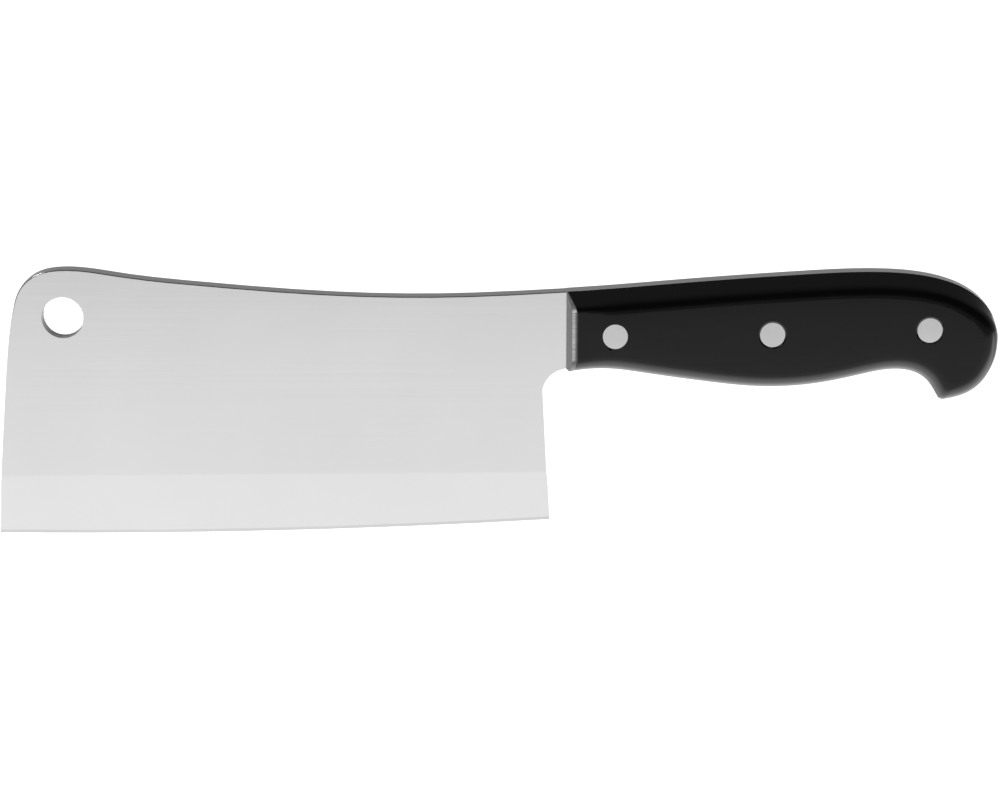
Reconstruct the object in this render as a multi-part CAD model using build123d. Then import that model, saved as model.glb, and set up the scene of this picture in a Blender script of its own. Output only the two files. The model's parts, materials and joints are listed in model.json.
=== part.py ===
from build123d import *
import math
import os

# Meat cleaver: a drop-forged blade with a short bolster and a full tang, two moulded handle scales,
# and three two-part cutler's rivets, each a pin that is driven into a sleeve.
#
# Millimetres. X runs along the cleaver from the toe of the blade (-X) to the butt of the handle (+X).
# Y is across its thickness, and -Y is its left side. Z points from the cutting edge up to the spine.
# The origin is the middle of the length and thickness, level with the lowest point of the cutting edge.

# Cutting edge: a long shallow arc from the toe to the heel.
EDGE_RADIUS = 2140.0
EDGE_LOWEST_X = -114.62
TOE_X = -137.37
HEEL_X = 15.38

# Blade thickness: flat sides that lean together towards the edge, a wide bevel and a narrow honed bevel.
SPINE_HALF = 2.45
SPINE_LEVEL_Z = 76.0
SIDE_LEAN = 1.1
BEVEL_TOE_Z = 16.8
BEVEL_HEEL_Z = 18.0
BEVEL_SECTIONS = 5
HONED_HALF = 0.25
HONED_HEIGHT = 0.9
RIM_ROUND = 0.3

# Hanging hole in the upper front corner, with both rims broken.
HANG_X = -117.77
HANG_Z = 62.1
HANG_RADIUS = 5.7
RIM_BREAK = 0.1

# Heel of the blade, which leans back as it rises, and the finger notch behind it.
HEEL_LEAN = 3.0
NOTCH_X = 20.18
NOTCH_Z = 40.8
NOTCH_RADIUS = 6.7
NOTCH_EXIT = 18.0

# Bolster: two thin wings that flare out of the blade and overlap the front ends of the scales.
BOLSTER_X = 19.78
BOLSTER_FLARE = 1.45
BOLSTER_ROOT = 0.3
BOLSTER_TIP = 1.2
BOLSTER_TOP_ROUND = 1.5
ROOT_ROUND = 0.6

# Handle: a tang with a scale on each side, flush with the tang all round.
TANG_HALF = 2.4
HANDLE_HALF = 9.2
FACET_DROP = 3.5
HANDLE_ROUND = 3.8
HOOK_ROUND = 1.8

# Rivets on a straight pitch: flush heads, a sleeve through the tang and a pin inside the sleeve.
RIVET_MIDDLE_X = 75.58
RIVET_PITCH = 42.65
RIVETS = {
    "front": (RIVET_MIDDLE_X - RIVET_PITCH, 58.45),
    "middle": (RIVET_MIDDLE_X, 58.95),
    "rear": (RIVET_MIDDLE_X + RIVET_PITCH, 60.2),
}
HEAD_RADIUS = 3.4
HEAD_THICK = 1.6
SLEEVE_RADIUS = 2.5
PIN_RADIUS = 1.6
FIT_GAP = 0.02
END_GAP = 0.4

# Side view outline: points (x, z) that smooth curves pass through, and the directions at their ends.
FRONT = [(-136.22, 20.5), (-134.42, 41.0), (-132.87, 55.5), (-131.37, 64.0), (-129.22, 70.05), (-124.72, 74.0)]
SPINE = [(-117.62, 75.5), (-102.12, 73.8), (-80.32, 71.3), (-47.62, 68.75), (-14.62, 68.0)]
HANDLE_TOP = [(BOLSTER_X, 69.45), (50.98, 71.86), (83.78, 74.22), (105.38, 74.93), (119.38, 73.47), (129.18, 69.8)]
BUTT = [(134.95, 64.7), (136.83, 60.9), (137.36, 57.0)]
BUTT_LOWER = [(136.85, 52.05), (135.3, 47.98), (132.42, 43.93), (127.84, 41.1)]
HOOK = (121.95, 39.75)
GRIP = [(119.02, 44.4), (116.2, 46.9), (109.7, 48.44), (100.18, 46.93), (89.28, 44.62), (72.88, 43.53)]
BELLY = [(56.48, 45.12), (42.38, 47.12), (28.38, 48.65)]
FRONT_START = (0.045, 0, 1)
SPINE_END = (1, 0, 0.058)
BUTT_REAR = (0, 0, -1)
HOOK_BELOW = (-1, 0, -0.15)
HOOK_ABOVE = (-0.6, 0, 0.8)

# Share of the full facet drop at each point of the handle top and butt: it fades out round the butt.
FACET_SHARE = [1.0, 1.0, 1.0, 1.0, 1.0, 0.95, 0.6, 0.2, 0.0]

# Reach of the cutting tools past the metal that they remove.
REACH = 10.0

ALONG_Y = (0, 1, 0)


def edge_height(x):
    """Height of the cutting edge at x."""
    return EDGE_RADIUS - math.sqrt(EDGE_RADIUS**2 - (x - EDGE_LOWEST_X) ** 2)


def side_half(z):
    """Half thickness of the blade's flat sides at height z."""
    return SPINE_HALF - (SPINE_LEVEL_Z - z) * math.tan(math.radians(SIDE_LEAN))


def bevel_top(x):
    """Height of the line where the wide bevel meets the flat side at x."""
    return BEVEL_TOE_Z + (BEVEL_HEEL_Z - BEVEL_TOE_Z) * (x - TOE_X) / (HEEL_X - TOE_X)


def in_side_view(points, y=0):
    """Points (x, z) of the side view as model points at y."""
    return [(x, y, z) for x, z in points]


def curve(points, start, end, y=0):
    """Smooth curve through points of the side view at y, leaving and arriving in the given directions."""
    return Spline(in_side_view(points, y), tangents=[start, end], tangent_scalars=[1, 1])


def upper_handle_curve(points, y=0):
    """Curve from the bolster over the top of the handle to the rearmost point of the butt."""
    return curve(points, SPINE_END, BUTT_REAR, y)


def notch_point(angle):
    """Point of the finger notch, with the angle measured up from its foremost point."""
    turn = math.radians(angle)
    return (NOTCH_X - NOTCH_RADIUS * math.cos(turn), NOTCH_Z + NOTCH_RADIUS * math.sin(turn))


def side_view_face():
    """Side view outline of the forging, with its lower boundary left below the cutting edge."""
    notch_end = notch_point(90 - NOTCH_EXIT)
    notch_start = notch_point(-HEEL_LEAN)
    run_back = (notch_start[1] + REACH) * math.tan(math.radians(HEEL_LEAN))
    heel_bottom = (notch_start[0] + run_back, -REACH)
    toe_bottom = (TOE_X, -REACH)
    toe = (TOE_X, edge_height(TOE_X))
    into_notch = (-1, 0, -math.tan(math.radians(NOTCH_EXIT)))
    edges = [
        curve([toe, *FRONT, *SPINE, HANDLE_TOP[0]], FRONT_START, SPINE_END),
        upper_handle_curve([*HANDLE_TOP, *BUTT]),
        curve([BUTT[-1], *BUTT_LOWER, HOOK], BUTT_REAR, HOOK_BELOW),
        curve([HOOK, *GRIP, *BELLY, notch_end], HOOK_ABOVE, into_notch),
        ThreePointArc(*in_side_view([notch_end, notch_point(45), notch_start])),
        Line(*in_side_view([notch_start, heel_bottom])),
        Line(*in_side_view([heel_bottom, toe_bottom])),
        Line(*in_side_view([toe_bottom, toe])),
    ]
    return Face(Wire(edges))


def side_view_plate(half):
    """The whole side view outline as a plate of the given half thickness, with its hook rounded."""
    plate = extrude(side_view_face(), half, dir=ALONG_Y, both=True)
    across = plate.edges().filter_by(Axis.Y)
    tip = across.sort_by_distance((HOOK[0], 0, HOOK[1]))[0]
    return fillet(tip, HOOK_ROUND)


def block(low, high):
    """Box between two opposite corners."""
    size = [b - a for a, b in zip(low, high)]
    middle = [(a + b) / 2 for a, b in zip(low, high)]
    return Pos(*middle) * Box(*size)


def facet_tool():
    """The space above the sloping facet along the upper edge of the +Y side of the handle."""
    outer = [*HANDLE_TOP, *BUTT]
    x, z = outer[0]
    inner = [(x, z - FACET_DROP)]
    for i in range(1, len(outer)):
        before = outer[i - 1]
        after = outer[min(i + 1, len(outer) - 1)]
        run_x = after[0] - before[0]
        run_z = after[1] - before[1]
        drop = FACET_DROP * FACET_SHARE[i] / math.hypot(run_x, run_z)
        x, z = outer[i]
        inner.append((x + drop * run_z, z - drop * run_x))
    right = outer[-1][0] + REACH
    high = SPINE_LEVEL_Z + REACH
    sections = []
    for y, line in ((TANG_HALF, outer), (HANDLE_HALF, inner)):
        left = line[0][0] - REACH
        behind = [line[-1], (right, line[-1][1]), (right, high)]
        ahead = [(left, high), (left, line[0][1]), line[0]]
        closing = Polyline(*in_side_view([*behind, *ahead], y)).edges()
        sections.append(Wire([upper_handle_curve(line, y), *closing]))
    return Solid.make_loft(sections, ruled=True)


def handle_side_body(right):
    """The +Y side of the handle outside the tang, from the bolster to x = right, with its facet but no rounding."""
    window = block((BOLSTER_X, TANG_HALF, 0), (right, HANDLE_HALF, SPINE_LEVEL_Z))
    return (side_view_plate(HANDLE_HALF) & window) - facet_tool()


def wing_outline():
    """Plan view outline of the +Y bolster wing, from the blade's middle plane out to the handle's side."""
    flare = BOLSTER_FLARE / (HANDLE_HALF - TANG_HALF)
    return [
        (BOLSTER_X - flare * TANG_HALF, 0),
        (BOLSTER_X + BOLSTER_FLARE, HANDLE_HALF),
        (BOLSTER_X + BOLSTER_FLARE + BOLSTER_TIP, HANDLE_HALF),
        (BOLSTER_X + BOLSTER_ROOT, TANG_HALF),
        (BOLSTER_X + BOLSTER_ROOT, 0),
    ]


def root_section(z):
    """Plan view section at height z of the fillet between the blade's +Y side and the front of the wing."""
    flare = BOLSTER_FLARE / (HANDLE_HALF - TANG_HALF)
    slant = math.hypot(1, flare)
    blade_y = side_half(z)
    centre_y = blade_y + ROOT_ROUND
    centre_x = BOLSTER_X + (centre_y - TANG_HALF) * flare - ROOT_ROUND * slant
    on_blade = (centre_x, blade_y, z)
    on_wing = (centre_x + ROOT_ROUND / slant, centre_y - ROOT_ROUND * flare / slant, z)
    middle_x = (on_blade[0] + on_wing[0]) / 2 - centre_x
    middle_y = (on_blade[1] + on_wing[1]) / 2 - centre_y
    reach = ROOT_ROUND / math.hypot(middle_x, middle_y)
    arc = ThreePointArc(on_blade, (centre_x + middle_x * reach, centre_y + middle_y * reach, z), on_wing)
    root_x = BOLSTER_X + BOLSTER_ROOT
    closing = Polyline(on_wing, (root_x, TANG_HALF, z), (root_x, 0, z), (centre_x, 0, z), on_blade)
    return Wire([arc, *closing.edges()])


def root_fillet():
    """Concave fillet between the blade's +Y side and the front of the wing."""
    body = Solid.make_loft([root_section(NOTCH_Z), root_section(SPINE_LEVEL_Z)], ruled=True)
    return (side_view_plate(HANDLE_HALF) & body) - facet_tool()


def plan_prism(points):
    """Tall prism on an outline given in plan view."""
    outline = Face(Wire.make_polygon([(x, y, 0) for x, y in points]))
    return extrude(outline, SPINE_LEVEL_Z, dir=(0, 0, 1))


def bolster_wing():
    """The +Y wing of the bolster, with the fillet in front of it."""
    body = handle_side_body(BOLSTER_X + BOLSTER_FLARE + BOLSTER_TIP)
    rim = body.faces().sort_by(Axis.Y)[-1].edges().sort_by(Axis.Z)
    body = fillet(rim[-1], BOLSTER_TOP_ROUND)
    rim = body.faces().sort_by(Axis.Y)[-1].edges().sort_by(Axis.Z)
    body = fillet(rim[0], HANDLE_ROUND)
    return (body & plan_prism(wing_outline())) + root_fillet()


def scale_blank():
    """The +Y scale without its rivet holes: the rounded handle side behind the bolster wing."""
    body = handle_side_body(BUTT[-1][0] + REACH)
    rim = body.faces().sort_by(Axis.Y)[-1].edges()
    side = fillet(rim - rim.filter_by(Axis.Z), HANDLE_ROUND)
    ahead = [(BOLSTER_X - REACH, 0), (BOLSTER_X - REACH, HANDLE_HALF + REACH), *wing_outline()[2:]]
    return side - plan_prism(ahead)


def bevel_tool():
    """The space outside the wide bevel and the honed bevel on the +Y side, along the cutting edge."""
    sections = []
    start = TOE_X - REACH
    step = (HEEL_X + REACH - start) / (BEVEL_SECTIONS - 1)
    for i in range(BEVEL_SECTIONS):
        x = start + i * step
        edge = edge_height(x)
        top = bevel_top(x)
        slope = (top - edge - HONED_HEIGHT) / (side_half(top) - HONED_HALF)
        outline = [
            (x, -HONED_HALF, edge - HONED_HEIGHT),
            (x, HONED_HALF, edge + HONED_HEIGHT),
            (x, TANG_HALF, edge + HONED_HEIGHT + slope * (TANG_HALF - HONED_HALF)),
            (x, TANG_HALF, -2 * REACH),
            (x, -HONED_HALF, -2 * REACH),
        ]
        sections.append(Wire.make_polygon(outline))
    return Solid.make_loft(sections)


def across_hole(x, z, radius, low, high):
    """Round bar along Y, for holes and rivets, from y = low to y = high."""
    bar = Cylinder(radius, high - low, rotation=(90, 0, 0))
    return Pos(x, (low + high) / 2, z) * bar


def blade(side_bevel):
    """The blade ahead of the bolster: leaning sides, broken rims and both bevels."""
    left = TOE_X - REACH
    section = [
        (left, -side_half(-REACH), -REACH),
        (left, side_half(-REACH), -REACH),
        (left, SPINE_HALF, SPINE_LEVEL_Z),
        (left, -SPINE_HALF, SPINE_LEVEL_Z),
    ]
    stock = extrude(Face(Wire.make_polygon(section)), BOLSTER_X - left, dir=(1, 0, 0))
    plate = side_view_plate(SPINE_HALF) & stock
    sides = plate.faces().filter_by(GeomType.PLANE).sort_by(SortBy.AREA)[-2:]
    end = plate.faces().sort_by(Axis.X)[-1].edges()
    below = plate.faces().sort_by(Axis.Z)[0].edges()
    rims = (sides.edges() - end) - below
    plate = fillet(rims, RIM_ROUND)
    return (plate - side_bevel) - mirror(side_bevel, Plane.XZ)


def blade_forging():
    """Blade, bolster and full tang in one piece."""
    right = BUTT[-1][0] + REACH
    tang_stock = block((BOLSTER_X, -TANG_HALF, 0), (right, TANG_HALF, SPINE_LEVEL_Z))
    forging = blade(bevel_tool()) + (side_view_plate(TANG_HALF) & tang_stock)
    wing = bolster_wing()
    forging += wing + mirror(wing, Plane.XZ)
    forging -= across_hole(HANG_X, HANG_Z, HANG_RADIUS, -HANDLE_HALF, HANDLE_HALF)
    for x, z in RIVETS.values():
        forging -= across_hole(x, z, SLEEVE_RADIUS + FIT_GAP, -HANDLE_HALF, HANDLE_HALF)
    wall = forging.faces().filter_by(GeomType.CYLINDER).sort_by(Axis.X)[0]
    rims = [edge for edge in wall.edges() if edge.length > math.pi * HANG_RADIUS]
    return chamfer(rims, RIM_BREAK)


def right_scale(blank):
    """The +Y scale, bored for the rivet sleeves and counterbored for their heads."""
    scale = blank
    for x, z in RIVETS.values():
        scale -= across_hole(x, z, SLEEVE_RADIUS + FIT_GAP, 0, HANDLE_HALF + REACH)
        floor = HANDLE_HALF - HEAD_THICK
        scale -= across_hole(x, z, HEAD_RADIUS + FIT_GAP, floor, HANDLE_HALF + REACH)
    return scale


def rivet_pin(x, z):
    """Male half of a rivet: a flush head in the -Y scale and a pin that runs into the sleeve."""
    under_head = HEAD_THICK - HANDLE_HALF
    head = across_hole(x, z, HEAD_RADIUS, -HANDLE_HALF, under_head)
    return head + across_hole(x, z, PIN_RADIUS, under_head, -under_head - END_GAP)


def rivet_sleeve(x, z):
    """Female half of a rivet: a flush head in the +Y scale and a blind sleeve through the tang."""
    under_head = HANDLE_HALF - HEAD_THICK
    head = across_hole(x, z, HEAD_RADIUS, under_head, HANDLE_HALF)
    barrel = across_hole(x, z, SLEEVE_RADIUS, END_GAP - under_head, under_head)
    bore = across_hole(x, z, PIN_RADIUS + FIT_GAP, -under_head, under_head)
    return head + (barrel - bore)


scale = right_scale(scale_blank())
parts = {
    "blade_forging": blade_forging(),
    "right_scale": scale,
    "left_scale": mirror(scale, Plane.XZ),
}
for place, (x, z) in RIVETS.items():
    parts[f"rivet_pin_{place}"] = rivet_pin(x, z)
    parts[f"rivet_sleeve_{place}"] = rivet_sleeve(x, z)

os.makedirs("parts", exist_ok=True)
for node, shape in parts.items():
    export_step(shape, f"parts/{node}.step")
    print(node, len(shape.solids()), round(shape.volume, 1))
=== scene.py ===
import json
import math

import bmesh
import bpy
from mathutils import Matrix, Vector
from mathutils.geometry import delaunay_2d_cdt
from mathutils.kdtree import KDTree


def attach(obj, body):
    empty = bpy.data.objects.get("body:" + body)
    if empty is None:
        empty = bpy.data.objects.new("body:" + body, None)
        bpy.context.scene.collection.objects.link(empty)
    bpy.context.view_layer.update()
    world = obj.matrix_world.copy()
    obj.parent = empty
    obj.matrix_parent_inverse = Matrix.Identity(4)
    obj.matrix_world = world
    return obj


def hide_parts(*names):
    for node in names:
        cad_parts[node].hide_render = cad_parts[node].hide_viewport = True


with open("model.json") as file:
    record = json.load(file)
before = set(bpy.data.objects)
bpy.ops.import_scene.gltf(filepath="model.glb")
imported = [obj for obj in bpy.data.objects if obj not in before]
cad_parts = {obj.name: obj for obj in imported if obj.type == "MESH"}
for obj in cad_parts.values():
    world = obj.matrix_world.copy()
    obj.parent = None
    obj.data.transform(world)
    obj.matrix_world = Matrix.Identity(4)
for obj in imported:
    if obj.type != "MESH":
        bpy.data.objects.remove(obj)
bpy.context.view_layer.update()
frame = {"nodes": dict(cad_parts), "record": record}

# Meat cleaver, in metres: +X towards the butt, -Y the left side, +Z up. The handle's shape is given in mm.
MM = 0.001

# Pieces that share the rivets' finish.
RIVET_HALVES = ["rivet_pin_front", "rivet_pin_middle", "rivet_pin_rear",
                "rivet_sleeve_front", "rivet_sleeve_middle", "rivet_sleeve_rear"]

# Stretches with their own finish: the bolster along X, its darker tail, the front of the scales' sides,
# and round the hanging hole, where the wall also gets painted shade.
BOLSTER_START = 0.01975
BOLSTER_TAIL = 0.02205
BOLSTER_END = 0.0226
SCALE_FRONT = (0.0222, 0.0228)
HANG_HOLE = next(mount for mount in frame["record"]["mounts"] if mount["name"] == "hang_hole")
HOLE_REACH = 0.006
HOLE_X = (HANG_HOLE["pos_m"][0] - HOLE_REACH, HANG_HOLE["pos_m"][0] + HOLE_REACH)
HOLE_Z = (HANG_HOLE["pos_m"][2] - HOLE_REACH, HANG_HOLE["pos_m"][2] + HOLE_REACH)
STRETCH_BLUR = 0.1 * MM

# Slants of the surface between which finishes, painted shade and painted highlight give way to one another.
# Sideways is 1 on the flats and 0 on the spine's top, and up is 1 on the spine's top and -1 on the underside.
EDGE_SIDEWAYS = (0.30, 0.40)
RIM_SIDEWAYS = (0.45, 0.55)
HOLE_SIDEWAYS = (0.985, 0.995)
SCALE_SIDEWAYS = (0.95, 0.99)
HONED_AND_SHADE_UP = (-0.24, -0.14)
UNDER_UP = (-0.20, -0.02)
RIM_UP = (0.03, 0.15)
LEVEL_UP = (0.5, 0.7)

# Darkest and lightest grey of each finish of the steel, and of the painted shade and painted highlight on it.
FLAT_GREY = (0.627, 0.648)
BOLSTER_GREY = (0.36, 0.62)
TAIL_GREY = (0.16, 0.26)
# Painted highlight: the upper rim of the bolster's outer side is painted far lighter than the flats.
RIM_HIGHLIGHT_GREY = (0.80, 0.98)
# The honed cutting edge, and painted shade on every other downward-facing surface of the steel.
HONED_AND_SHADE_GREY = (0.25, 0.275)
EDGE_GREY = (0.62, 0.66)
# Painted shade: the bolster's front face and root, and its underside, are painted very dark.
ROOT_SHADE_GREY = (0.09, 0.145)
# Painted shade: the bolster's downward faces are painted darkest of all.
UNDER_SHADE_GREY = (0.05, 0.08)
# Painted shade: the wall and chamfers of the hanging hole are painted darker than the flats, on a real matt
# finish.
HOLE_SHADE_GREY = (0.42, 0.48)
MATT_METAL = 0.3

# Smoothest and roughest polish of each finish of the steel.
FLAT_POLISH = (0.14, 0.20)
BOLSTER_POLISH = (0.34, 0.50)
RIM_POLISH = (0.60, 0.75)
EDGE_POLISH = (0.34, 0.42)
HOLE_POLISH = (0.65, 0.80)

# The rivets' and the plastic's greys and polish, and the lighter grey of a narrow strip on the plastic's
# sides at the front end.
RIVET_GREY = (0.62, 0.67)
RIVET_POLISH = (0.20, 0.26)
PLASTIC_GREY = (0.0012, 0.0020)
FRONT_STRIP_GREY = (0.045, 0.065)
PLASTIC_POLISH = (0.16, 0.26)
PLASTIC_SHINE = 0.275

# Fineness of each pattern along X, Y and Z, per metre.
PLAIN = (1, 1, 1)
STEEL_LINES = (14, 1500, 5200)
STEEL_FINE = (60, 9000, 16000)
STEEL_COARSE = (350, 350, 2600)
RIVET_LINES = (1200, 3000, 9000)
PLASTIC_WAVE = (0.5, 1, 1)
PLASTIC_SCUFF = (90, 900, 900)

# Values of a noise between which a pattern runs from its dark to its light end.
NOISE_GREY = (0.3, 0.7)
NOISE_POLISH = (0.25, 0.75)
SCUFF_GREY = (0.35, 0.75)
SCUFF_POLISH = (0.45, 0.8)

# Floor sheet: its height, its reach, its greys and finish, and the strength of its painted glow at places
# along Y.
FLOOR_Z = -0.25
FLOOR_HALF = 8.0
FLOOR_GREY = (0.78, 0.80)
FLOOR_ROUGH = 0.9
FLOOR_SHINE = 0.1
GLOW_FROM_Y = -2.0
GLOW_TO_Y = 1.0
GLOW_FULL = 4.0
GLOW = [(-1.95, 0.0), (-1.65, 0.33), (-1.33, 0.68), (-1.10, 0.91), (-0.76, 0.87),
        (-0.60, 0.955), (-0.35, 0.955), (-0.12, 3.4), (0.12, 3.4), (0.32, 1.12)]

# Sky: greys from level to straight up, in front of the object and behind it, and where the two meet.
SKY_IN_FRONT = [(0.0, 0.40), (0.12, 0.22), (0.25, 0.10), (0.45, 0.06), (0.8, 0.055),
                (0.95, 0.13), (1.0, 0.20)]
SKY_BEHIND = [(0.0, 0.46), (0.15, 0.38), (0.3, 0.33), (0.5, 0.22), (0.75, 0.20), (1.0, 0.22)]
SKY_TURN = (-0.12, 0.16)

# Softbox above the toe: its place, what it points at, its width and its power in watts.
KEY_PLACE = (-1.3, -0.5, 1.65)
KEY_AIM = (0, 0, 0.04)
KEY_SIZE = 0.55
KEY_POWER = 11

# Camera: what it looks at, how far away and how steeply from above, and its lens in mm.
CAMERA_AIM = Vector((0.00164, 0, 0.03825))
CAMERA_AWAY = 0.9182
CAMERA_UP = math.radians(15)
CAMERA_LENS = 120
CAMERA_SENSOR = 36
CAMERA_REACH = 60


def placed(name, data):
    """Object of a mesh, light or camera, in the scene."""
    thing = bpy.data.objects.new(name, data)
    bpy.context.scene.collection.objects.link(thing)
    return thing


# ---------------------------------------------------------------- materials

def new_material(name):
    """Material with an empty node tree, its Principled shader and its output."""
    material = bpy.data.materials.new(name)
    material.use_nodes = True
    tree = material.node_tree
    tree.nodes.clear()
    output = tree.nodes.new("ShaderNodeOutputMaterial")
    shader = tree.nodes.new("ShaderNodeBsdfPrincipled")
    tree.links.new(shader.outputs["BSDF"], output.inputs["Surface"])
    return material, tree, shader


def object_place(tree, scale):
    """Object coordinates stretched by a scale per axis."""
    coordinates = tree.nodes.new("ShaderNodeTexCoord")
    mapping = tree.nodes.new("ShaderNodeMapping")
    mapping.inputs["Scale"].default_value = scale
    tree.links.new(coordinates.outputs["Object"], mapping.inputs["Vector"])
    return mapping.outputs["Vector"]


def noise(tree, place, scale, detail, rough=0.55):
    """Cloudy noise over a place, of a given fineness, with more detail where rough is high."""
    node = tree.nodes.new("ShaderNodeTexNoise")
    node.inputs["Scale"].default_value = scale
    node.inputs["Detail"].default_value = detail
    node.inputs["Roughness"].default_value = rough
    tree.links.new(place, node.inputs["Vector"])
    return node.outputs["Fac"]


def remap(tree, value, low, high, to_low, to_high):
    """A value moved from one range to another, and held within it."""
    node = tree.nodes.new("ShaderNodeMapRange")
    node.inputs["From Min"].default_value = low
    node.inputs["From Max"].default_value = high
    node.inputs["To Min"].default_value = to_low
    node.inputs["To Max"].default_value = to_high
    tree.links.new(value, node.inputs["Value"])
    return node.outputs["Result"]


def bump(tree, height, distance, strength, below=None):
    """Surface relief from a height pattern, on top of any relief below it."""
    node = tree.nodes.new("ShaderNodeBump")
    node.inputs["Distance"].default_value = distance
    node.inputs["Strength"].default_value = strength
    tree.links.new(height, node.inputs["Height"])
    if below is not None:
        tree.links.new(below, node.inputs["Normal"])
    return node.outputs["Normal"]


def grey(tree, pattern, ends, places=NOISE_GREY):
    """Grey that runs from its dark to its light end as the pattern runs between two places."""
    ramp = tree.nodes.new("ShaderNodeValToRGB")
    for element, place, end in zip(ramp.color_ramp.elements, places, ends):
        element.position = place
        element.color = (end, end, end, 1)
    tree.links.new(pattern, ramp.inputs["Fac"])
    return ramp.outputs["Color"]


def stepped_grey(tree, value, steps):
    """Grey that passes through a row of (place, grey) steps as the value runs from 0 to 1."""
    ramp = tree.nodes.new("ShaderNodeValToRGB")
    tree.links.new(value, ramp.inputs["Fac"])
    elements = ramp.color_ramp.elements
    for k, (place, shade) in enumerate(steps):
        element = elements[k] if k < 2 else elements.new(place)
        element.position = place
        element.color = (shade, shade, shade, 1)
    return ramp.outputs["Color"]


def polish(tree, pattern, ends, places=NOISE_POLISH):
    """Roughness that runs from smooth to rough as the pattern runs between two places."""
    return remap(tree, pattern, *places, *ends)


def facing(tree, axis):
    """One part of the surface's own normal."""
    geometry = tree.nodes.new("ShaderNodeNewGeometry")
    split = tree.nodes.new("ShaderNodeSeparateXYZ")
    tree.links.new(geometry.outputs["Normal"], split.inputs["Vector"])
    return split.outputs[axis]


def joined(tree, operation, first, second=None):
    """Two varying values put together, or one changed, by a named operation."""
    node = tree.nodes.new("ShaderNodeMath")
    node.operation = operation
    tree.links.new(first, node.inputs[0])
    if second is not None:
        tree.links.new(second, node.inputs[1])
    return node.outputs["Value"]


def both(tree, first, *others):
    """Mask of the places where every one of some masks is 1."""
    for other in others:
        first = joined(tree, "MULTIPLY", first, other)
    return first


def sideways(tree):
    """How far the surface faces to the left or right: 1 on the flats and 0 on the spine."""
    return joined(tree, "ABSOLUTE", facing(tree, "Y"))


def stretch(tree, axis, start, end):
    """Mask that is 1 between two places along an axis and 0 elsewhere."""
    split = tree.nodes.new("ShaderNodeSeparateXYZ")
    tree.links.new(object_place(tree, PLAIN), split.inputs["Vector"])
    after = remap(tree, split.outputs[axis], start - STRETCH_BLUR, start + STRETCH_BLUR, 0.0, 1.0)
    before = remap(tree, split.outputs[axis], end - STRETCH_BLUR, end + STRETCH_BLUR, 1.0, 0.0)
    return both(tree, after, before)


def blend(tree, mask, first, second, kind="FLOAT"):
    """The first where the mask is 0 and the second where it is 1."""
    node = tree.nodes.new("ShaderNodeMix")
    node.data_type = kind
    tree.links.new(mask, node.inputs["Factor"])
    for name, value in (("A", first), ("B", second)):
        tree.links.new(value, next(i for i in node.inputs if i.name == name and i.enabled))
    return next(o for o in node.outputs if o.enabled)


def steel_masks(tree):
    """Where each finish of the steel lies, and where its painted shade and painted highlight lie."""
    across = sideways(tree)
    up = facing(tree, "Z")
    edge = remap(tree, across, *EDGE_SIDEWAYS, 1.0, 0.0)
    # The honed cutting edge, and painted shade on all other downward faces: notch, hole and tang undersides.
    honed_and_shade = remap(tree, up, *HONED_AND_SHADE_UP, 1.0, 0.0)
    bolster = stretch(tree, "X", BOLSTER_START, BOLSTER_END)
    tail = stretch(tree, "X", BOLSTER_TAIL, BOLSTER_END)
    level = remap(tree, up, *LEVEL_UP, 1.0, 0.0)
    # Painted shade on the bolster's downward faces.
    under = both(tree, bolster, remap(tree, up, *UNDER_UP, 1.0, 0.0))
    # Painted shade on the bolster's front face and root, and on its underside; the same mask also makes them
    # matt.
    root = joined(tree, "MAXIMUM", both(tree, bolster, edge, level), under)
    rising = remap(tree, up, *RIM_UP, 0.0, 1.0)
    # Painted highlight on the upward-sloping rim of the bolster's outer side.
    rim_highlight = both(tree, bolster, level, rising, remap(tree, across, *RIM_SIDEWAYS, 0.0, 1.0))
    # Painted shade in the hanging hole: its wall and chamfers are painted darker, as well as made matt and
    # rough.
    near_hole = both(tree, stretch(tree, "X", *HOLE_X), stretch(tree, "Z", *HOLE_Z))
    hole = both(tree, near_hole, remap(tree, across, *HOLE_SIDEWAYS, 1.0, 0.0))
    return edge, honed_and_shade, bolster, tail, root, rim_highlight, under, hole


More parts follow.
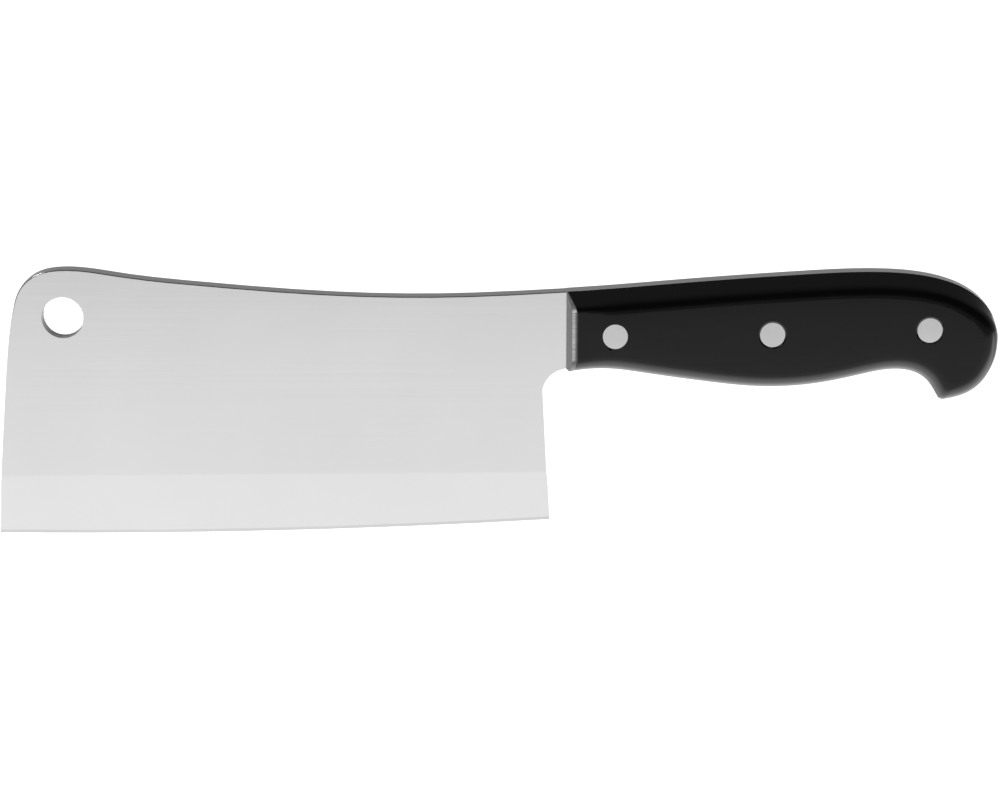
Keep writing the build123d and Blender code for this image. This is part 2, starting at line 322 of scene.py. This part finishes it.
def blade_steel():
    """Stainless steel: flats ground lengthways, satin edges and a coarsely ground bolster; a honed cutting
    edge with painted shade on the other undersides; painted shade on matt steel at the bolster's front, root
    and underside and in the hanging hole; a painted highlight on the bolster's upper rim.
    """
    material, tree, shader = new_material("blade_steel")
    lines = noise(tree, object_place(tree, STEEL_LINES), 1.0, 3)
    fine = noise(tree, object_place(tree, STEEL_FINE), 1.0, 2)
    coarse = noise(tree, object_place(tree, STEEL_COARSE), 1.0, 3, 0.7)
    cloud = noise(tree, object_place(tree, PLAIN), 26.0, 4)
    edge, honed_and_shade, bolster, tail, root, rim_highlight, under, hole = steel_masks(tree)

    colour = grey(tree, cloud, FLAT_GREY)
    # Over the ground steel go painted shade on the undersides, the bolster's front, root and underside and in
    # the hanging hole, and a painted highlight on the bolster's upper rim.
    layers = [
        (bolster, coarse, BOLSTER_GREY),
        (tail, coarse, TAIL_GREY),
        (rim_highlight, coarse, RIM_HIGHLIGHT_GREY),
        (honed_and_shade, cloud, HONED_AND_SHADE_GREY),
        (edge, cloud, EDGE_GREY),
        (root, coarse, ROOT_SHADE_GREY),
        (under, coarse, UNDER_SHADE_GREY),
        (hole, coarse, HOLE_SHADE_GREY),
    ]
    for mask, pattern, ends in layers:
        colour = blend(tree, mask, colour, grey(tree, pattern, ends), "RGBA")
    tree.links.new(colour, shader.inputs["Base Color"])

    matt = joined(tree, "MAXIMUM", root, hole)
    tree.links.new(remap(tree, matt, 0.0, 1.0, 1.0, MATT_METAL), shader.inputs["Metallic"])

    rough = polish(tree, lines, FLAT_POLISH)
    layers = [
        (bolster, coarse, BOLSTER_POLISH),
        (rim_highlight, coarse, RIM_POLISH),
        (edge, lines, EDGE_POLISH),
        (hole, coarse, HOLE_POLISH),
    ]
    for mask, pattern, ends in layers:
        rough = blend(tree, mask, rough, polish(tree, pattern, ends))
    tree.links.new(rough, shader.inputs["Roughness"])

    relief = bump(tree, lines, 0.004 * MM, 0.35)
    relief = bump(tree, fine, 0.002 * MM, 0.35, relief)
    relief = bump(tree, both(tree, bolster, coarse), 0.03 * MM, 0.3, relief)
    tree.links.new(relief, shader.inputs["Normal"])
    return material


def rivet_metal():
    """Satin rivet metal, ground flush with the scale."""
    material, tree, shader = new_material("rivet_metal")
    shader.inputs["Metallic"].default_value = 1.0
    lines = noise(tree, object_place(tree, RIVET_LINES), 1.0, 3)
    cloud = noise(tree, object_place(tree, PLAIN), 160.0, 4)
    tree.links.new(grey(tree, cloud, RIVET_GREY), shader.inputs["Base Color"])
    tree.links.new(polish(tree, lines, RIVET_POLISH), shader.inputs["Roughness"])
    tree.links.new(bump(tree, lines, 0.002 * MM, 0.2), shader.inputs["Normal"])
    return material


def handle_plastic():
    """Glossy black moulded plastic with a fine grain and faint scuffs, and a lighter grey strip on the sides
    at the front end.
    """
    material, tree, shader = new_material("handle_plastic")
    shader.inputs["Specular IOR Level"].default_value = PLASTIC_SHINE
    grain = noise(tree, object_place(tree, PLAIN), 5200.0, 2)
    wave = noise(tree, object_place(tree, PLASTIC_WAVE), 90.0, 2)
    scuff = noise(tree, object_place(tree, PLASTIC_SCUFF), 1.0, 5, 0.7)
    black = grey(tree, scuff, PLASTIC_GREY, SCUFF_GREY)
    # Lighter grey on a narrow strip of the sides at the front end, next to the bolster.
    front_strip = grey(tree, scuff, FRONT_STRIP_GREY, SCUFF_GREY)
    side = remap(tree, sideways(tree), *SCALE_SIDEWAYS, 0.0, 1.0)
    front = both(tree, side, stretch(tree, "X", *SCALE_FRONT))
    tree.links.new(blend(tree, front, black, front_strip, "RGBA"), shader.inputs["Base Color"])
    tree.links.new(polish(tree, scuff, PLASTIC_POLISH, SCUFF_POLISH), shader.inputs["Roughness"])
    relief = bump(tree, wave, 0.04 * MM, 0.12)
    tree.links.new(bump(tree, grain, 0.003 * MM, 0.25, relief), shader.inputs["Normal"])
    return material


def floor_sheet():
    """White sheet with a faint mottle that glows with painted light: brightest under the object, dark far in
    front.
    """
    material, tree, shader = new_material("floor_sheet")
    shader.inputs["Roughness"].default_value = FLOOR_ROUGH
    shader.inputs["Specular IOR Level"].default_value = FLOOR_SHINE
    # Painted light: the sheet itself glows, strongest under the object and fading to nothing far in front.
    shader.inputs["Emission Color"].default_value = (1, 1, 1, 1)
    place = object_place(tree, PLAIN)
    mottle = noise(tree, place, 3.0, 4)
    tree.links.new(grey(tree, mottle, FLOOR_GREY), shader.inputs["Base Color"])
    split = tree.nodes.new("ShaderNodeSeparateXYZ")
    tree.links.new(place, split.inputs["Vector"])
    along = remap(tree, split.outputs["Y"], GLOW_FROM_Y, GLOW_TO_Y, 0.0, 1.0)
    steps = [((y - GLOW_FROM_Y) / (GLOW_TO_Y - GLOW_FROM_Y), glow / GLOW_FULL) for y, glow in GLOW]
    strength = remap(tree, stepped_grey(tree, along, steps), 0.0, 1.0, 0.0, GLOW_FULL)
    tree.links.new(strength, shader.inputs["Emission Strength"])
    tree.links.new(bump(tree, mottle, 0.5 * MM, 0.1), shader.inputs["Normal"])
    return material


def dress(piece, material):
    """Gives a piece its only material."""
    piece.data.materials.clear()
    piece.data.materials.append(material)


STEEL = blade_steel()
PLASTIC = handle_plastic()
RIVET = rivet_metal()

nodes = frame["nodes"]
dress(nodes["blade_forging"], STEEL)
for name in RIVET_HALVES:
    dress(nodes[name], RIVET)


# ---------------------------------------------------------------- handle scales

# Side view outline of the handle: points (x, z) in mm that smooth curves pass through.
BOLSTER_X = 19.78
HANDLE_TOP = [(BOLSTER_X, 69.45), (50.98, 71.86), (83.78, 74.22), (105.38, 74.93), (119.38, 73.47),
              (129.18, 69.8)]
BUTT = [(134.95, 64.7), (136.83, 60.9), (137.36, 57.0)]
BUTT_LOWER = [(136.85, 52.05), (135.3, 47.98), (132.42, 43.93), (127.84, 41.1)]
HOOK = (121.95, 39.75)
GRIP = [(119.02, 44.4), (116.2, 46.9), (109.7, 48.44), (100.18, 46.93), (89.28, 44.62), (72.88, 43.53)]
BELLY = [(56.48, 45.12), (42.38, 47.12), (28.38, 48.65)]
NOTCH_END = (18.11, 47.17)
SPINE_END = (1, 0.058)
BUTT_REAR = (0, -1)
HOOK_BELOW = (-1, -0.15)
HOOK_ABOVE = (-0.6, 0.8)
INTO_NOTCH = (-1, -0.325)
HOOK_ROUND = 1.8

# Cross section in mm: the tang and handle half thicknesses, and the sloping facet along the upper edge,
# with its share of the full drop at each point of the handle top and butt.
TANG_HALF = 2.4
HANDLE_HALF = 9.2
FACET_DROP = 3.5
FACET_SHARE = [1.0, 1.0, 1.0, 1.0, 1.0, 0.95, 0.6, 0.2, 0.0]

# Facet drop in mm under which the outline gets a wall of its own instead of meeting the tang at a corner.
WALL_DROP = 0.5

# Roundings in mm under the facet and along the underside: at the bolster, and further back.
FACET_ROUND_FRONT = 1.6
FACET_ROUND = 3.6
UNDER_ROUND_FRONT = 3.8
UNDER_ROUND = 4.6

# The sides' crown in mm: how far they fall away towards the outline, and over what width.
CROWN = 0.12
CROWN_WIDTH = 10.0

# The ridge where the roundings of the grip and the butt meet, inside the hook: its width and how far it is
# eased down, both as shares of the distance in from the outline.
RIDGE_WIDTH = 0.6
RIDGE_DROP = 0.15

# Front end of the scale: it leans back from the tang to the outside, against the bolster.
FRONT_INNER_X = BOLSTER_X + 0.3
FRONT_OUTER_X = BOLSTER_X + 2.65
SETTLE_LENGTH = 12.0

# Rivet places (x, z), and the bores and counterbores for them, in mm.
RIVET_PLACES = [(32.93, 58.45), (75.58, 58.95), (118.23, 60.2)]
BORE_RADIUS = 2.52
COUNTERBORE_RADIUS = 3.42
COUNTERBORE_Y = HANDLE_HALF - 1.6

# Corners of a circle, and how many of them a ring of points round a rivet moves on by at a time. Triangles
# whose middle is within this share of a hole's radius are left out, so that the hole stays open.
RING_POINTS = 72
RIVET_RING_SKIP = 3
OPEN_SHARE = 0.99

# Smallest distances in mm that count, for places in the side view and across the tang, and the reach to each
# side over which a slant is measured.
SAME_PLACE = 1e-7
ON_TANG = 1e-6
SLANT_REACH = 0.02

# Spacing of the mesh in mm: of the fine outline, along the outline, in the middle and up the front end, and
# the most that the outline turns, in radians, between two samples.
FINE_STEP = 0.1
OUTLINE_STEP = 0.9
MIDDLE_STEP = 2.0
FRONT_STEP = 1.5
MAX_TURN = 0.12

# How far in mm points keep from the front end, and how many rounds place the points along it. A ring's point
# is left out where it is nearer the one before than this share of the gap to the ring outside it, or nearer
# the outline than this share of the ring's own distance.
FRONT_MARGIN = 0.3
FRONT_TRIES = 12
CROWDED = 0.4
NEARLY = 0.995

# Rings of points in mm: out from a rivet's counterbore, and in from the outline.
RIVET_RINGS = [0.5, 1.3]
RINGS = [0.05, 0.16, 0.34, 0.6, 0.92, 1.3, 1.75, 2.25, 2.8, 3.4, 4.0, 4.6, 5.2, 5.9, 6.8]


def through(points, start, end, step):
    """Points along the smooth curve through given points, that leaves and arrives in given directions.

    Each point is (x, z, value), and the value is carried along smoothly with the place."""
    last = len(points) - 1
    chord = [math.dist(points[i][:2], points[i + 1][:2]) for i in range(last)]
    slopes = []
    for axis in range(3):
        first, final = ((v[axis] / math.hypot(*v)) if axis < 2 else 0.0 for v in (start, end))
        before = [0.0] * (last + 1)
        here = [1.0] * (last + 1)
        after = [0.0] * (last + 1)
        wanted = [first] + [0.0] * (last - 1) + [final]
        for i in range(1, last):
            before[i] = chord[i]
            here[i] = 2 * (chord[i - 1] + chord[i])
            after[i] = chord[i - 1]
            rise = points[i][axis] - points[i - 1][axis]
            next_rise = points[i + 1][axis] - points[i][axis]
            wanted[i] = 3 * (chord[i] / chord[i - 1] * rise + chord[i - 1] / chord[i] * next_rise)
        for i in range(1, last + 1):
            share = before[i] / here[i - 1]
            here[i] -= share * after[i - 1]
            wanted[i] -= share * wanted[i - 1]
        slope = [wanted[last] / here[last]]
        for i in range(last - 1, -1, -1):
            slope.insert(0, (wanted[i] - after[i] * slope[0]) / here[i])
        slopes.append(slope)
    line = []
    for i in range(last):
        count = max(2, round(chord[i] / step))
        for j in range(count):
            t = j / count
            line.append(tuple(
                (2 * t**3 - 3 * t**2 + 1) * points[i][axis]
                + (t**3 - 2 * t**2 + t) * chord[i] * slopes[axis][i]
                + (3 * t**2 - 2 * t**3) * points[i + 1][axis]
                + (t**3 - t**2) * chord[i] * slopes[axis][i + 1]
                for axis in range(3)))
    line.append(points[-1])
    return line


def trimmed(line, length):
    """The line without its first stretch of the given length."""
    for i in range(len(line) - 1):
        piece = math.dist(line[i][:2], line[i + 1][:2])
        if piece > length:
            t = length / piece
            cut = tuple(a + (b - a) * t for a, b in zip(line[i], line[i + 1]))
            return [cut, *line[i + 1:]]
        length -= piece
    return line


def handle_outline():
    """Fine outline of the handle: the upper and rear curve to the hook's tip, and the grip's curve."""
    top = [(x, z, share) for (x, z), share in zip([*HANDLE_TOP, *BUTT], FACET_SHARE)]
    lower = [(x, z, 0.0) for x, z in [BUTT[-1], *BUTT_LOWER, HOOK]]
    grip = [(x, z, 0.0) for x, z in [HOOK, *GRIP, *BELLY, NOTCH_END]]
    upper_line = through(top, SPINE_END, BUTT_REAR, FINE_STEP)[:-1]
    upper_line += through(lower, BUTT_REAR, HOOK_BELOW, FINE_STEP)
    grip_line = through(grip, HOOK_ABOVE, INTO_NOTCH, FINE_STEP)
    turn = math.atan2(HOOK_BELOW[1], HOOK_BELOW[0]) + math.tau - math.atan2(HOOK_ABOVE[1], HOOK_ABOVE[0])
    cut = HOOK_ROUND * math.tan(turn / 2)
    upper_line = trimmed(upper_line[::-1], cut)[::-1]
    grip_line = trimmed(grip_line, cut)
    start = math.atan2(HOOK_BELOW[1], HOOK_BELOW[0]) + math.pi / 2
    middle_x = upper_line[-1][0] - HOOK_ROUND * math.cos(start)
    middle_z = upper_line[-1][1] - HOOK_ROUND * math.sin(start)
    count = math.ceil(turn * HOOK_ROUND / FINE_STEP)
    arc = []
    for i in range(1, count):
        angle = start - turn * i / count
        arc.append((middle_x + HOOK_ROUND * math.cos(angle), middle_z + HOOK_ROUND * math.sin(angle), 0.0))
    half = len(arc) // 2
    return upper_line + arc[:half + 1], arc[half:] + grip_line


class Edge:
    """One curve of the outline, as points (x, z, the facet's share)."""

    def __init__(self, line):
        self.line = line
        self.tree = KDTree(len(line))
        for i, (x, z, share) in enumerate(line):
            self.tree.insert((x, z, 0), i)
        self.tree.balance()

    def nearest(self, x, z):
        """Distance from a side view point to the curve, and the facet's share there."""
        _, i, _ = self.tree.find((x, z, 0))
        best = None
        for j in (i - 1, i):
            if j < 0 or j + 1 >= len(self.line):
                continue
            a, b = self.line[j], self.line[j + 1]
            along = (b[0] - a[0], b[1] - a[1])
            t = ((x - a[0]) * along[0] + (z - a[1]) * along[1]) / (along[0] ** 2 + along[1] ** 2)
            t = min(1.0, max(0.0, t))
            distance = math.hypot(x - a[0] - t * along[0], z - a[1] - t * along[1])
            if best is None or distance < best[0]:
                best = (distance, a[2] + (b[2] - a[2]) * t)
        return best


UPPER, LOWER = (Edge(line) for line in handle_outline())


def ease(t):
    """Smooth rise from 0 to 1."""
    t = min(1.0, max(0.0, t))
    return t * t * (3 - 2 * t)


def inward(x, z):
    """Distance in from the outline, easing over the ridge inside the hook, and the facet's share there."""
    upper, share = UPPER.nearest(x, z)
    lower, _ = LOWER.nearest(x, z)
    near = min(upper, lower)
    if near <= 0:
        return 0.0, share if upper <= lower else 0.0
    ridge = max(0.0, 1 - abs(upper - lower) / (RIDGE_WIDTH * near))
    return near * (1 - RIDGE_DROP * ridge**2), share if upper <= lower else 0.0


def profile(x, distance, share):
    """Half thickness of the handle at a distance in from its outline."""
    settled = ease((x - FRONT_OUTER_X) / SETTLE_LENGTH)
    under = UNDER_ROUND_FRONT + (UNDER_ROUND - UNDER_ROUND_FRONT) * settled
    over = FACET_ROUND_FRONT + (FACET_ROUND - FACET_ROUND_FRONT) * settled
    share = min(1.0, max(0.0, share))
    radius = under + (over - under) * share
    drop = FACET_DROP * share
    width = HANDLE_HALF - TANG_HALF
    slant = math.hypot(drop, width)
    centre = (radius * slant + (width - radius) * drop) / width
    facet_end = centre - radius * width / slant
    if distance >= centre:
        y = HANDLE_HALF
    elif distance >= facet_end:
        y = HANDLE_HALF - radius + math.sqrt(max(0.0, radius**2 - (centre - distance) ** 2))
    else:
        y = TANG_HALF + width * distance / drop
    if distance <= 0:
        wall = max(0.0, 1 - drop / WALL_DROP)
        y = TANG_HALF + (HANDLE_HALF - radius + radius * drop / slant - TANG_HALF) * wall
    crown = CROWN * settled * max(0.0, 1 - distance / CROWN_WIDTH) ** 2
    return y - crown * (y - TANG_HALF) / width


def depth_at(x, z):
    """Plain distance in from the outline."""
    return min(UPPER.nearest(x, z)[0], LOWER.nearest(x, z)[0])


def half_at(x, z):
    """Half thickness of the handle at a side view point."""
    distance, share = inward(x, z)
    return profile(x, distance, share)


def front_x(y):
    """Front end of the scale at half thickness y."""
    return FRONT_INNER_X + (y - TANG_HALF) * (FRONT_OUTER_X - FRONT_INNER_X) / (HANDLE_HALF - TANG_HALF)


def cut_at(a, b, x):
    """Point of the segment a-b at x."""
    t = (x - a[0]) / (b[0] - a[0])
    return tuple(p + (q - p) * t for p, q in zip(a, b))


def scale_outline():
    """Outline samples (x, z, share, inward x, inward z), clockwise from the upper front corner."""
    line = UPPER.line + LOWER.line[1:]
    lower_x = front_x(profile(FRONT_INNER_X, 0, 0))
    first = next(i for i, point in enumerate(line) if point[0] > FRONT_INNER_X)
    last = max(i for i, point in enumerate(line) if point[0] > lower_x)
    line = [cut_at(line[first - 1], line[first], FRONT_INNER_X), *line[first:last + 1],
            cut_at(line[last], line[last + 1], lower_x)]
    samples = []
    gone = turned = 0.0
    previous = None
    for i, (x, z, share) in enumerate(line):
        a, b = line[max(i - 1, 0)], line[min(i + 1, len(line) - 1)]
        length = math.dist(a[:2], b[:2])
        along = ((b[0] - a[0]) / length, (b[1] - a[1]) / length)
        if i:
            gone += math.dist(line[i - 1][:2], (x, z))
            turned += abs(along[0] * previous[1] - along[1] * previous[0])
        previous = along
        if i == 0 or i == len(line) - 1 or gone > OUTLINE_STEP or turned > MAX_TURN:
            samples.append((x, z, share, along[1], -along[0]))
            gone = turned = 0.0
    return samples


def front_line(samples):
    """Points (x, z) where the outer surface meets the front end, from the top down, without corners."""
    upper, lower = [], []
    for distance in RINGS:
        for edge, sign, corner, points in ((UPPER, -1, samples[0], upper), (LOWER, 1, samples[-1], lower)):
            x, z = corner[0], corner[1] + sign * distance
            for _ in range(FRONT_TRIES):
                x = front_x(half_at(x, z))
                z += sign * (distance - edge.nearest(x, z)[0])
            points.append((front_x(half_at(x, z)), z))
    high, low = upper[-1][1], lower[-1][1]
    count = round((high - low) / FRONT_STEP)
    middle = []
    for i in range(1, count):
        z = high + (low - high) * i / count
        middle.append((front_x(half_at(FRONT_OUTER_X, z)), z))
    return upper + middle + lower[::-1]


def circle(place, radius):
    """Points of a circle in the side view, anticlockwise."""
    turns = [math.tau * i / RING_POINTS for i in range(RING_POINTS)]
    return [(place[0] + radius * math.cos(a), place[1] + radius * math.sin(a)) for a in turns]


def loop_edges(start, count):
    """Pairs of neighbours round a closed loop of numbered points."""
    return [(start + i, start + (i + 1) % count) for i in range(count)]


def clear_of_rivets(x, z, gap):
    """Whether a side view point is further than a gap from every counterbore."""
    return all(math.dist((x, z), place) > COUNTERBORE_RADIUS + gap for place in RIVET_PLACES)


def ring_points(samples):
    """Side view points in rings in from the outline, thinned out where they crowd."""
    points = []
    for k, ring in enumerate(RINGS):
        gap = ring - (RINGS[k - 1] if k else 0)
        previous = None
        for x, z, _, inward_x, inward_z in samples:
            point = (x + inward_x * ring, z + inward_z * ring)
            crowded = previous is not None and math.dist(previous, point) < CROWDED * gap
            ahead = point[0] < front_x(half_at(*point)) + FRONT_MARGIN
            if depth_at(*point) > NEARLY * ring and not crowded and not ahead:
                points.append(point)
                previous = point
    return points


def grid_points(samples):
    """Side view points in staggered rows over the middle, clear of the rings and the rivets."""
    points = []
    gap = MIDDLE_STEP / 3
    row = 0
    z = HOOK[1]
    while z < HANDLE_TOP[3][1]:
        x = FRONT_OUTER_X + MIDDLE_STEP / 2 + (row % 2) * MIDDLE_STEP / 2
        while x < BUTT[-1][0]:
            deep = in_outline(x, z, samples) and depth_at(x, z) > RINGS[-1] + gap
            if deep and clear_of_rivets(x, z, RIVET_RINGS[-1] + gap):
                points.append((x, z))
            x += MIDDLE_STEP
        z += MIDDLE_STEP * math.sqrt(3) / 2
        row += 1
    return points


def inner_points(samples):
    """Side view points inside the outer surface: rings, circles round the rivets, then a wide grid."""
    points = ring_points(samples)
    for place in RIVET_PLACES:
        for wider in RIVET_RINGS:
            points += circle(place, COUNTERBORE_RADIUS + wider)[::RIVET_RING_SKIP]
    return points + grid_points(samples)


def in_outline(x, z, samples):
    """Whether a side view point is inside the closed outline."""
    inside = False
    for a, b in zip(samples, samples[1:] + samples[:1]):
        if (a[1] > z) != (b[1] > z) and x < a[0] + (z - a[1]) * (b[0] - a[0]) / (b[1] - a[1]):
            inside = not inside
    return inside


def triangles(points, edges, holes, radius):
    """Anticlockwise triangles between side view points, inside the boundary edges and outside the holes."""
    flat = [Vector(p) for p in points]
    places, _, faces, origins, _, _ = delaunay_2d_cdt(flat, edges, [], 1, SAME_PLACE)
    kept = []
    for face in faces:
        middle = sum((places[i] for i in face), Vector((0, 0))) / 3
        if all(math.dist(middle, hole) > radius * OPEN_SHARE for hole in holes):
            kept.append([origins[i][0] for i in face])
    return kept


def surface_normal(x, z):
    """Outward normal of the outer surface of the left scale at a side view point off the outline."""
    step = min(SLANT_REACH, 0.3 * inward(x, z)[0])
    run_x = (half_at(x + step, z) - half_at(x - step, z)) / (2 * step)
    run_z = (half_at(x, z + step) - half_at(x, z - step)) / (2 * step)
    return Vector((-run_x, -1, -run_z)).normalized()


def outline_normal(share, inward_x, inward_z):
    """Outward normal of the left scale's outer surface at the outline."""
    drop = FACET_DROP * min(1.0, max(0.0, share))
    width = HANDLE_HALF - TANG_HALF
    return Vector((-inward_x * width, -drop, -inward_z * width)).normalized()


class Shell:
    """Vertices in mm, faces, and the normal at each corner of each face."""

    def __init__(self):
        self.vertices = []
        self.faces = []
        self.normals = []

    def add_vertex(self, x, y, z):
        self.vertices.append((x, y, z))
        return len(self.vertices) - 1

    def add_face(self, face, normals):
        self.faces.append(face)
        self.normals.append(normals)


def add_outer_surface(shell, samples, front):
    """The visible side of the left scale, and where the ring of vertices round each rivet starts."""
    points = [(s[0], s[1]) for s in samples] + front[::-1]
    edges = loop_edges(0, len(points))
    ring_starts = []
    for place in RIVET_PLACES:
        ring_starts.append(len(points))
        edges += loop_edges(len(points), RING_POINTS)
        points += circle(place, COUNTERBORE_RADIUS)
    points += inner_points(samples)
    normals = []
    for i, (x, z) in enumerate(points):
        if i < len(samples):
            shell.add_vertex(x, -profile(x, 0, samples[i][2]), z)
            normals.append(outline_normal(*samples[i][2:]))
        else:
            shell.add_vertex(x, -half_at(x, z), z)
            normals.append(surface_normal(x, z))
    for face in triangles(points, edges, RIVET_PLACES, COUNTERBORE_RADIUS):
        shell.add_face(face, [normals[i] for i in face])
    return ring_starts


def add_outline_wall(shell, samples):
    """The wall between the outer surface and the tang, and its vertices along the tang."""
    inner = []
    for i, (x, z, *_) in enumerate(samples):
        on_tang = -shell.vertices[i][1] - TANG_HALF < ON_TANG
        inner.append(i if on_tang else shell.add_vertex(x, -TANG_HALF, z))
    lower_line = [p for p in LOWER.line if p[0] > FRONT_INNER_X]
    corner_z = cut_at(lower_line[-1], LOWER.line[len(lower_line)], FRONT_INNER_X)[1]
    inner.append(shell.add_vertex(FRONT_INNER_X, -TANG_HALF, corner_z))
    outward = [Vector((-s[3], 0, -s[4])) for s in samples]
    last = len(samples) - 1
    for i in range(last):
        face = [i, i + 1, inner[i + 1], inner[i]]
        face = [v for k, v in enumerate(face) if v not in face[:k]]
        if len(face) > 2:
            shell.add_face(face, [outward[i + 1] if v in (i + 1, inner[i + 1]) else outward[i] for v in face])
    shell.add_face([last, inner[last + 1], inner[last]], [outward[last]] * 3)
    return inner


def add_front_end(shell, samples, front, inner):
    """The end that leans against the bolster."""
    lean = (FRONT_OUTER_X - FRONT_INNER_X) / (HANDLE_HALF - TANG_HALF)
    first = len(samples)
    face = [inner[-1], first - 1, *range(first, first + len(front)), 0]
    shell.add_face(face, [Vector((-1, -lean, 0)).normalized()] * len(face))


def add_bores(shell, ring_starts):
    """Counterbores, their floors and the bores, and where each bore's ring on the tang starts."""
    steps = [(COUNTERBORE_RADIUS, COUNTERBORE_Y), (BORE_RADIUS, COUNTERBORE_Y), (BORE_RADIUS, TANG_HALF)]
    to_middle = [Vector((-x, 0, -z)) for x, z in circle((0, 0), 1)]
    bores = []
    for place, start in zip(RIVET_PLACES, ring_starts):
        rings = [start]
        for radius, y in steps:
            rings.append(len(shell.vertices))
            for x, z in circle(place, radius):
                shell.add_vertex(x, -y, z)
        for k, (a, b) in enumerate(zip(rings, rings[1:])):
            for i, j in loop_edges(0, RING_POINTS):
                wall = [to_middle[i], to_middle[j], to_middle[j], to_middle[i]]
                is_floor = k == 1
                shell.add_face([a + i, a + j, b + j, b + i], [Vector((0, -1, 0))] * 4 if is_floor else wall)
        bores.append(rings[-1])
    return bores


def add_inner_face(shell, inner, bores):
    """The flat face against the tang."""
    numbers = list(inner)
    edges = loop_edges(0, len(inner))
    for start in bores:
        edges += loop_edges(len(numbers), RING_POINTS)
        numbers += range(start, start + RING_POINTS)
    flat = [(shell.vertices[i][0], shell.vertices[i][2]) for i in numbers]
    for face in triangles(flat, edges, RIVET_PLACES, BORE_RADIUS):
        shell.add_face([numbers[i] for i in reversed(face)], [Vector((0, 1, 0))] * 3)


def left_scale_shell():
    """The closed surface of the left scale."""
    shell = Shell()
    samples = scale_outline()
    front = front_line(samples)
    ring_starts = add_outer_surface(shell, samples, front)
    inner = add_outline_wall(shell, samples)
    add_front_end(shell, samples, front, inner)
    bores = add_bores(shell, ring_starts)
    add_inner_face(shell, inner, bores)
    return shell


def handle_scale(name, node, shell, mirrored):
    """One moulded scale, in place of its CAD node."""
    flip = -1 if mirrored else 1
    order = [list(reversed(face)) if mirrored else face for face in shell.faces]
    mesh = bpy.data.meshes.new(name)
    mesh.from_pydata([(x * MM, y * flip * MM, z * MM) for x, y, z in shell.vertices], [], order)
    for polygon in mesh.polygons:
        polygon.use_smooth = True
    normals = []
    for corners in shell.normals:
        row = [(n[0], n[1] * flip, n[2]) for n in corners]
        normals += reversed(row) if mirrored else row
    mesh.normals_split_custom_set(normals)
    piece = placed(name, mesh)
    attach(piece, "root")
    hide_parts(node)
    dress(piece, PLASTIC)


left_shell = left_scale_shell()
handle_scale("left_handle_scale", "left_scale", left_shell, False)
handle_scale("right_handle_scale", "right_scale", left_shell, True)


# ---------------------------------------------------------------- floor, light and camera

def lay_floor():
    """Wide level sheet under the object."""
    mesh = bmesh.new()
    signs = ((-1, -1), (1, -1), (1, 1), (-1, 1))
    mesh.faces.new([mesh.verts.new((x * FLOOR_HALF, y * FLOOR_HALF, FLOOR_Z)) for x, y in signs])
    floor_mesh = bpy.data.meshes.new("floor")
    mesh.to_mesh(floor_mesh)
    mesh.free()
    floor_mesh.materials.append(floor_sheet())
    placed("floor", floor_mesh)


def hang_key_light():
    """Square softbox, turned towards the object."""
    light = bpy.data.lights.new("key", "AREA")
    light.shape = "SQUARE"
    light.size = KEY_SIZE
    light.energy = KEY_POWER
    lamp = placed("key", light)
    lamp.location = KEY_PLACE
    lamp.rotation_euler = (Vector(KEY_AIM) - Vector(KEY_PLACE)).to_track_quat("-Z", "Y").to_euler()


def surround_with_sky():
    """Grey studio that darkens upwards, in front of the object more than behind it."""
    world = bpy.data.worlds.new("studio")
    bpy.context.scene.world = world
    world.use_nodes = True
    sky = world.node_tree
    sky.nodes.clear()
    output = sky.nodes.new("ShaderNodeOutputWorld")
    background = sky.nodes.new("ShaderNodeBackground")
    sky.links.new(background.outputs["Background"], output.inputs["Surface"])
    direction = sky.nodes.new("ShaderNodeTexCoord")
    split = sky.nodes.new("ShaderNodeSeparateXYZ")
    sky.links.new(direction.outputs["Generated"], split.inputs["Vector"])
    in_front = stepped_grey(sky, split.outputs["Z"], SKY_IN_FRONT)
    behind = stepped_grey(sky, split.outputs["Z"], SKY_BEHIND)
    to_back = remap(sky, split.outputs["Y"], *SKY_TURN, 0.0, 1.0)
    sky.links.new(blend(sky, to_back, in_front, behind, "RGBA"), background.inputs["Color"])


def stand_camera():
    """Camera that looks squarely at the left side, from a little above."""
    camera = bpy.data.cameras.new("camera")
    camera.lens = CAMERA_LENS
    camera.sensor_width = CAMERA_SENSOR
    camera.clip_end = CAMERA_REACH
    eye = placed("camera", camera)
    eye.location = CAMERA_AIM + CAMERA_AWAY * Vector((0, -math.cos(CAMERA_UP), math.sin(CAMERA_UP)))
    eye.rotation_euler = (math.pi / 2 - CAMERA_UP, 0, 0)
    bpy.context.scene.camera = eye


lay_floor()
hang_key_light()
surround_with_sky()
stand_camera()

bpy.context.scene.view_settings.view_transform = "Standard"
bpy.context.scene.view_settings.look = "None"
